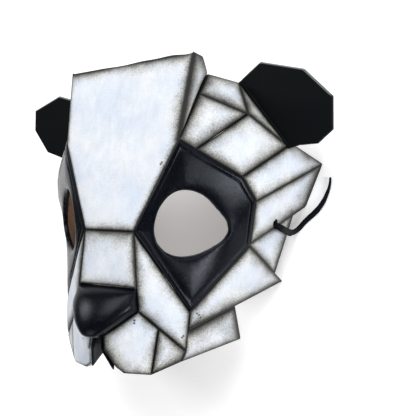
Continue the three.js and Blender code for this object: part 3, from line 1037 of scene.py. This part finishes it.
def lace_leather():
    """Matt black leather of the lace."""
    material, nodes, links, shader = new_material("lace_leather")
    grain = object_noise(nodes, links, 600, detail=3)
    tone = map_range(nodes, links, grain, 0.3, 0.7)
    base = mix_colours(nodes, links, tone, (0.0015, 0.0015, 0.003), (0.005, 0.005, 0.0075))
    links.new(base, shader.inputs["Base Color"])
    links.new(map_range(nodes, links, grain, 0.3, 0.7, 0.45, 0.65), shader.inputs["Roughness"])
    shader.inputs["Specular IOR Level"].default_value = 0.06
    add_bump(nodes, links, shader, grain, 0.4, 0.2)
    return material


def floor_paint():
    """White floor with a painted glow, though it is no lamp, that lightens the shade on it and inside
    the mask.
    """
    material, nodes, links, shader = new_material("floor")
    tone = object_noise(nodes, links, 3, detail=2)
    base = mix_colours(nodes, links, tone, (0.93, 0.93, 0.94), (0.95, 0.95, 0.96))
    links.new(base, shader.inputs["Base Color"])
    shader.inputs["Roughness"].default_value = 0.9
    # Painted glow that lightens the floor's shade
    shader.inputs["Emission Color"].default_value = (1, 1, 1, 1)
    shader.inputs["Emission Strength"].default_value = FLOOR_GLOW
    return material


LOOKS = {
    "white": white_leather(),
    "black": black_leather(),
    "ear": ear_leather(),
    "raw": raw_leather(),
    "lace": lace_leather(),
}


def dress(piece, node, look, back="raw"):
    """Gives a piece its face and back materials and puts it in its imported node's place."""
    piece.data.materials.append(LOOKS[look])
    piece.data.materials.append(LOOKS[back])
    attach(piece, BODY)
    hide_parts(node)


# Camera

def add_camera():
    """The camera at the photo's angle."""
    back = Vector((
        math.sin(CAMERA_YAW) * math.cos(CAMERA_PITCH),
        math.sin(CAMERA_PITCH),
        math.cos(CAMERA_YAW) * math.cos(CAMERA_PITCH),
    ))
    level = Vector((math.cos(CAMERA_YAW), 0, -math.sin(CAMERA_YAW)))
    upright = back.cross(level)
    right = level * math.cos(CAMERA_ROLL) + upright * math.sin(CAMERA_ROLL)
    up = upright * math.cos(CAMERA_ROLL) - level * math.sin(CAMERA_ROLL)
    data = bpy.data.cameras.new("camera")
    data.sensor_width = SENSOR_WIDTH
    data.lens = FOCAL_PIXELS / PICTURE_PIXELS * SENSOR_WIDTH
    data.clip_start = CLIP_START * MM
    camera = bpy.data.objects.new("camera", data)
    turn = Matrix((right, up, back)).transposed().to_4x4()
    camera.matrix_world = Matrix.Translation(Vector(CAMERA_PLACE) * MM) @ turn
    bpy.context.collection.objects.link(camera)
    bpy.context.scene.camera = camera


# The lace

def smooth_route(points, step):
    """Points every step along a Catmull-Rom curve through the route."""
    route = np.array(points, dtype=float)
    ends = np.vstack([2 * route[0] - route[1], route, 2 * route[-1] - route[-2]])
    dense = []
    for i in range(1, len(ends) - 2):
        before, start, end, after = ends[i - 1:i + 3]
        count = max(2, math.ceil(np.linalg.norm(end - start) / step))
        for share in np.arange(count) / count:
            linear = (end - before) * share
            square = (2 * before - 5 * start + 4 * end - after) * share**2
            cube = (3 * start - before - 3 * end + after) * share**3
            dense.append(0.5 * (2 * start + linear + square + cube))
    dense.append(route[-1])
    return np.array(dense)


def lace_section():
    """Corners of the lace's section, with its half width and half height as one."""
    corners = []
    for k in range(LACE_SIDES):
        turn = 2 * math.pi * k / LACE_SIDES
        width = math.copysign(abs(math.cos(turn)) ** LACE_WIDTH_POWER, math.cos(turn))
        height = math.copysign(abs(math.sin(turn)) ** LACE_HEIGHT_POWER, math.sin(turn))
        corners.append((width, height))
    return corners


def lace_taper(left, tip_length):
    """Share of the lace's full width, by the length that is left to its tip."""
    if not tip_length:
        return 1.0
    return LACE_TIP_SHARE + (1 - LACE_TIP_SHARE) * min(1, left / tip_length)


def lace_piece(name, route, facing, lace_width, tip_length):
    """A flat lace along a route, its broad side turned to the facing direction at either end."""
    points = smooth_route(route, LACE_STEP)
    steps = np.linalg.norm(np.diff(points, axis=0), axis=1)
    lengths = np.concatenate([[0], np.cumsum(steps)])
    tangents = np.gradient(points, axis=0)
    tangents /= np.linalg.norm(tangents, axis=1)[:, None]
    start, end = np.array(facing, dtype=float)
    section = lace_section()
    vertices = []
    for point, tangent, length in zip(points, tangents, lengths):
        share = length / lengths[-1]
        broad = start * (1 - share) + end * share
        broad = broad - tangent * (broad @ tangent)
        broad /= np.linalg.norm(broad)
        side = np.cross(tangent, broad)
        taper = lace_taper(lengths[-1] - length, tip_length)
        thinning = (1 + taper) / 2
        ripple = 1 + LACE_RIPPLE * noise.noise(Vector(point) / LACE_RIPPLE_LENGTH)
        for width, height in section:
            aside = side * (width * lace_width / 2 * taper * ripple)
            above = broad * (height * LACE_THICKNESS / 2 * thinning)
            vertices.append(point + aside + above)
    faces = grid_faces(len(points), LACE_SIDES, closed=False)
    faces.append(tuple(range(LACE_SIDES)))
    faces.append(tuple(range(len(vertices) - LACE_SIDES, len(vertices)))[::-1])
    piece = make_piece(name, vertices, faces, [False] * len(faces), np.zeros(len(vertices)))
    return piece, points, lengths[-1]


def add_lace():
    """The tie lace: its turn over the rim, and its free end, which is a cord."""
    tail, tail_points, tail_length = lace_piece(
        "lace_end", LACE_TAIL, (PANEL_OUT, UP), LACE_END_WIDTH, LACE_TIP_LENGTH
    )
    loop = lace_piece("lace_turn", LACE_LOOP, (UP, PANEL_OUT), LACE_TURN_WIDTH, 0)[0]
    dress(tail, "lace_tail", "lace")
    dress(loop, "lace_loop", "lace")


# Panels

def add_middle_panel(node):
    """The forehead or the bridge of the nose."""
    piece = panel_piece(f"{node}_leather", node, BORDERS[node], node)
    dress(piece, node, "white")


def add_nose():
    """The black nose."""
    piece = panel_piece("nose_leather", "nose", NO_BORDER, "nose")
    dress(piece, "nose", "black")


def add_side_panel(panel, side):
    """A white panel of one half of the face."""
    node = f"{panel}_{side}"
    build = holed_piece if panel in HOLED_PANELS else panel_piece
    piece = build(f"{node}_leather", node, OWN_BORDERS.get(node, BORDERS[panel]))
    dress(piece, node, "white")


def add_eye_patch(side):
    """A black eye patch with its hole."""
    node = f"eye_patch_{side}"
    piece = holed_piece(f"{node}_leather", node, NO_BORDER, "patch")
    dress(piece, node, "black")


def add_lip_tab(side):
    """A black flap along the inner edge of a lip."""
    node = f"lip_tab_{side}"
    piece = panel_piece(f"{node}_leather", node, NO_BORDER, "tab")
    dress(piece, node, "black", back="black")


def add_ear(side):
    """A flat black ear."""
    node = f"ear_{side}"
    piece = panel_piece(f"{node}_leather", node, NO_BORDER, "ear")
    dress(piece, node, "ear", back="ear")


# Floor and light

def add_floor():
    """A plain square floor."""
    mesh = bpy.data.meshes.new("floor")
    signs = ((-1, -1), (1, -1), (1, 1), (-1, 1))
    corners = [(FLOOR_HALF * x, FLOOR_HALF * y, 0) for x, y in signs]
    mesh.from_pydata(corners, [], [(0, 1, 2, 3)])
    floor = bpy.data.objects.new("floor", mesh)
    bpy.context.collection.objects.link(floor)
    mesh.materials.append(floor_paint())


def add_area_light(name, place, target, width, power):
    """A soft square lamp that looks at its target."""
    data = bpy.data.lights.new(name, "AREA")
    data.size = width
    data.energy = power
    light = bpy.data.objects.new(name, data)
    light.location = place
    direction = Vector(target) - Vector(place)
    light.rotation_euler = direction.to_track_quat("-Z", "Y").to_euler()
    bpy.context.collection.objects.link(light)


def add_light():
    """Dim light from all round, and the lamps."""
    world = bpy.data.worlds.new("studio")
    world.use_nodes = True
    background = world.node_tree.nodes["Background"]
    background.inputs["Color"].default_value = SKY_COLOUR
    background.inputs["Strength"].default_value = SKY_STRENGTH
    bpy.context.scene.world = world
    for lamp in LAMPS:
        add_area_light(*lamp)


# The scene

add_camera()
add_lace()
for panel in MIDDLE_PANELS:
    add_middle_panel(panel)
add_nose()
for side in ("left", "right"):
    for panel in BORDERS:
        if panel not in MIDDLE_PANELS:
            add_side_panel(panel, side)
    add_eye_patch(side)
    add_lip_tab(side)
    add_ear(side)
add_floor()
add_light()
bpy.context.scene.view_settings.view_transform = "Standard"
